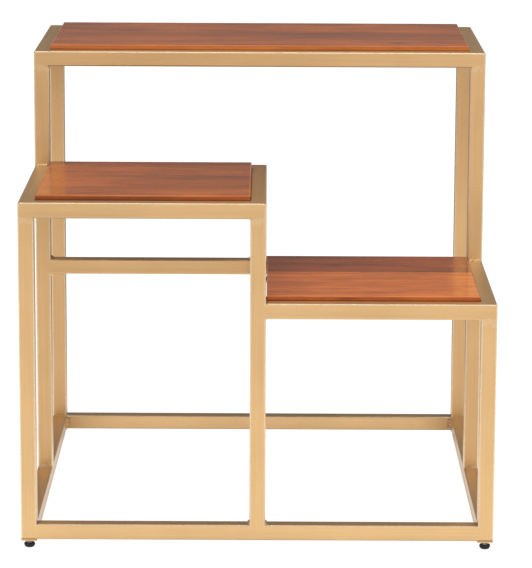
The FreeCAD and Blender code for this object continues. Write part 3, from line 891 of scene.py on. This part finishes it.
def lathe(name, rings):
    """Closed mesh through rings of equal count, from the bottom up, with a flat face at each end."""
    count = len(rings[0])
    points = [point for ring in rings for point in ring]
    faces = [tuple(range(count))[::-1], tuple(range(len(points) - count, len(points)))]
    for i, j in itertools.product(range(len(rings) - 1), range(count)):
        beside = (j + 1) % count
        faces.append((i * count + j, i * count + beside, (i + 1) * count + beside, (i + 1) * count + j))
    mesh = bpy.data.meshes.new(name)
    mesh.from_pydata(points, [], faces)
    mesh.shade_smooth()
    mesh.set_sharp_from_angle(angle=math.radians(CREASE_DEGREES))
    return mesh


def ring_at(middle, height, radius_at):
    """Points round a middle at a height, with the radius given by the angle."""
    angles = [2 * math.pi * step / ROUND_STEPS for step in range(ROUND_STEPS)]
    turned = [(radius_at(angle) * math.cos(angle), radius_at(angle) * math.sin(angle)) for angle in angles]
    return [(middle[0] + x, middle[1] + y, height) for x, y in turned]


def stud_rings(middle, foot, top):
    """Rings of a stud: plain stem in the pad, collar, then thread up to a chamfered end."""
    def even(radius):
        """Radius that is the same all round."""
        return lambda angle: radius

    def threaded(height):
        """Radius of the thread at a height."""
        def radius_at(angle):
            turn = (height / THREAD_PITCH - angle / (2 * math.pi)) % 1
            return STUD_RADIUS - THREAD_DEPTH * abs(2 * turn - 1)
        return radius_at

    root = STUD_RADIUS - THREAD_DEPTH
    shoulder = STUD_STEM_END + STUD_PLAY
    profile = (
        (STUD_RADIUS - STUD_CHAMFER, foot + STUD_PLAY),
        (STUD_RADIUS, foot + STUD_CHAMFER),
        (STUD_RADIUS, shoulder),
        (COLLAR_RADIUS - COLLAR_FOOT_CHAMFER, shoulder),
        (COLLAR_RADIUS, shoulder + COLLAR_FOOT_CHAMFER),
        (COLLAR_RADIUS, COLLAR_TOP - COLLAR_TOP_CHAMFER),
        (COLLAR_RADIUS - COLLAR_TOP_CHAMFER, COLLAR_TOP),
        (root, COLLAR_TOP),
        (root, COLLAR_TOP + THREAD_START),
    )
    rings = [ring_at(middle, height, even(radius)) for radius, height in profile]
    step = THREAD_PITCH / THREAD_STEPS
    height = COLLAR_TOP + THREAD_START + step
    while height < top - THREAD_END:
        rings.append(ring_at(middle, height, threaded(height)))
        height += step
    rings.append(ring_at(middle, top, even(root - STUD_CHAMFER)))
    return rings


def pad_rings(middle):
    """Rings of a pad, up its outside and down into its socket. The belly is fluted."""
    def fluted(radius, depth):
        """Radius with flutes of this depth."""
        return lambda angle: radius - depth * (0.5 - 0.5 * math.cos(FLUTES * angle))

    rings = []
    for i, (radius, height) in enumerate(PAD_PROFILE):
        depth = FLUTE_DEPTH if FLUTED_FROM <= i < FLUTED_TO else 0.0
        rings.append(ring_at(middle, height, fluted(radius, depth)))
    return rings


def black_plastic(name):
    """Moulded black plastic with scuffed, greyer patches."""
    finish, tree, plastic = new_finish(name)
    scuff = noise(tree, object_place(tree), SCUFF_RATE, detail=5.0, roughness=0.65)
    scuff = spread(tree, scuff, *SCUFF_CONTRAST)
    tree.links.new(mixed(tree, scuff, BLACK, GREY_BLACK), plastic.inputs["Base Color"])
    tree.links.new(spread(tree, scuff, 0.0, 1.0, *PLASTIC_ROUGHNESS), plastic.inputs["Roughness"])
    return finish


pad_plastic = black_plastic("moulded_black_plastic")
for corner in ("front_left", "front_right", "rear_left", "rear_right"):
    low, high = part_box(corner + "_foot_stud")
    middle = ((low[0] + high[0]) / 2, (low[1] + high[1]) / 2)
    stud_mesh = lathe(corner + "_stud", stud_rings(middle, low[2], high[2]))
    stud = new_piece(corner + "_threaded_stud", stud_mesh, plating)
    fit(stud, corner + "_stud", [corner + "_foot_stud"])
    pad_mesh = lathe(corner + "_pad", pad_rings(middle))
    pad = new_piece(corner + "_fluted_pad", pad_mesh, pad_plastic)
    fit(pad, corner + "_pad", [corner + "_foot_pad"])


# Studio: a white floor that runs back out of sight, a large soft box in front, a soft box overhead and
# a dim room. The camera is a little above the table and well back.
FLOOR_SIZE = 30.0
FLOOR_GLOW = 0.92
FLOOR_WHITE = (0.8, 0.8, 0.8, 1)
FLOOR_UNDER_GLOW = (0.2, 0.2, 0.2, 1)
NEAR_FLOOR_IN_METAL = 1.0
FRONT_FLOOR_IN_METAL = 0.25
FRONT_FADE = (-2.5, -1.4)
REAR_FLOOR_IN_METAL = 0.1
REAR_FADE = (0.3, 0.9)
RAIL_SHADOW_IN_METAL = 0.35
RAIL_SHADOW_LINE = 0.287
RAIL_SHADOW_FADE = (0.015, 0.04)
ROOM_LIGHT = 0.85
ROOM_IN_METAL = 0.14
ROOM_WHITE = (1, 1, 1, 1)
HORIZON_FADE = 0.03
CAMERA_PLACE = (0.012, -4.02, 1.0881)
CAMERA_PITCH = 11.306
CAMERA_YAW = 0.0335
CAMERA_ROLL = 0.252
CAMERA_LENS = 192.43
SENSOR_WIDTH = 36


def blended(tree, share, first, second):
    """Output of a Mix node on two numbers."""
    return put(tree, "ShaderNodeMix", {0: share, 2: first, 3: second}).outputs[0]


def white_floor():
    """Floor that the camera sees as white with the object's shadow kept; in shiny surfaces with a painted
    rail shadow.
    """
    finish = bpy.data.materials.new("white_floor")
    finish.use_nodes = True
    tree = finish.node_tree
    tree.nodes.remove(tree.nodes["Principled BSDF"])
    ray = put(tree, "ShaderNodeLightPath").outputs
    seen = number(tree, "MAXIMUM", ray["Is Camera Ray"], ray["Is Glossy Ray"])
    seen = number(tree, "MAXIMUM", seen, ray["Is Transmission Ray"])
    place = put(tree, "ShaderNodeSeparateXYZ", {0: object_place(tree)}).outputs
    out = [number(tree, "ABSOLUTE", place[axis], 0.0) for axis in "XY"]
    # Painted shadow: in shiny surfaces the floor is dimmed along the bottom rails, and fades in front and
    # behind.
    beside = number(tree, "SUBTRACT", number(tree, "MAXIMUM", *out), RAIL_SHADOW_LINE)
    beside = number(tree, "ABSOLUTE", beside, 0.0)
    rail_shadow = spread(tree, beside, *RAIL_SHADOW_FADE, RAIL_SHADOW_IN_METAL, NEAR_FLOOR_IN_METAL)
    ahead = spread(tree, place["Y"], *FRONT_FADE, FRONT_FLOOR_IN_METAL, NEAR_FLOOR_IN_METAL)
    behind = spread(tree, place["Y"], *REAR_FADE, NEAR_FLOOR_IN_METAL, REAR_FLOOR_IN_METAL)
    pool = number(tree, "MINIMUM", number(tree, "MINIMUM", ahead, behind), rail_shadow)
    strength = blended(tree, ray["Is Camera Ray"], pool, FLOOR_GLOW)
    glow = put(tree, "ShaderNodeEmission", {"Strength": strength}).outputs[0]
    shaded = put(tree, "ShaderNodeBsdfDiffuse", {"Color": FLOOR_UNDER_GLOW}).outputs[0]
    shown = put(tree, "ShaderNodeAddShader", {0: glow, 1: shaded}).outputs[0]
    plain = put(tree, "ShaderNodeBsdfDiffuse", {"Color": FLOOR_WHITE}).outputs[0]
    either = put(tree, "ShaderNodeMixShader", {0: seen, 1: plain, 2: shown}).outputs[0]
    tree.links.new(either, tree.nodes["Material Output"].inputs["Surface"])
    return finish


def dim_room():
    """World: white to the camera and at the horizon, dimmer above it in shiny surfaces, dim as a light."""
    world = bpy.data.worlds.new("studio_room")
    world.use_nodes = True
    tree = world.node_tree
    ray = put(tree, "ShaderNodeLightPath").outputs
    up = put(tree, "ShaderNodeTexCoord").outputs["Generated"]
    up = put(tree, "ShaderNodeSeparateXYZ", {0: up}).outputs["Z"]
    in_metal = spread(tree, up, -HORIZON_FADE, HORIZON_FADE, 1.0, ROOM_IN_METAL)
    shiny = number(tree, "MAXIMUM", ray["Is Glossy Ray"], ray["Is Transmission Ray"])
    strength = blended(tree, shiny, ROOM_LIGHT, in_metal)
    strength = blended(tree, ray["Is Camera Ray"], strength, 1.0)
    room = tree.nodes["Background"].inputs
    tree.links.new(strength, room["Strength"])
    room["Color"].default_value = ROOM_WHITE
    return world


def soft_box(name, place, aim, width, height, watts):
    """Rectangular lamp at a place, facing aim."""
    lamp = bpy.data.lights.new(name, "AREA")
    lamp.shape = "RECTANGLE"
    lamp.size = width
    lamp.size_y = height
    lamp.energy = watts
    box = bpy.data.objects.new(name, lamp)
    box.location = place
    box.rotation_euler = (Vector(aim) - Vector(place)).to_track_quat("-Z", "Y").to_euler()
    bpy.context.collection.objects.link(box)


floor_mesh = bpy.data.meshes.new("studio_floor")
half = FLOOR_SIZE / 2
floor_corners = [(-half, -half, 0), (half, -half, 0), (half, half, 0), (-half, half, 0)]
floor_mesh.from_pydata(floor_corners, [], [(0, 1, 2, 3)])
new_piece("studio_floor", floor_mesh, white_floor())
bpy.context.scene.world = dim_room()
soft_box("front_soft_box", place=(0.8, -4.2, 2.2), aim=(0, 0, 0.3), width=4.0, height=2.4, watts=40)
soft_box("overhead_soft_box", place=(0.1, -0.35, 2.6), aim=(0, 0, 0.3), width=2.6, height=1.2, watts=24)

camera = bpy.data.cameras.new("photo_camera")
camera.lens = CAMERA_LENS
camera.sensor_width = SENSOR_WIDTH
camera.sensor_fit = "AUTO"
camera_stand = bpy.data.objects.new("photo_camera", camera)
camera_stand.matrix_world = Matrix.Translation(CAMERA_PLACE)
for degrees, axis in ((CAMERA_YAW, "Z"), (90 - CAMERA_PITCH, "X"), (CAMERA_ROLL, "Z")):
    turn = Matrix.Rotation(math.radians(degrees), 4, axis)
    camera_stand.matrix_world = camera_stand.matrix_world @ turn
bpy.context.collection.objects.link(camera_stand)
bpy.context.scene.camera = camera_stand
bpy.context.scene.view_settings.view_transform = "Standard"
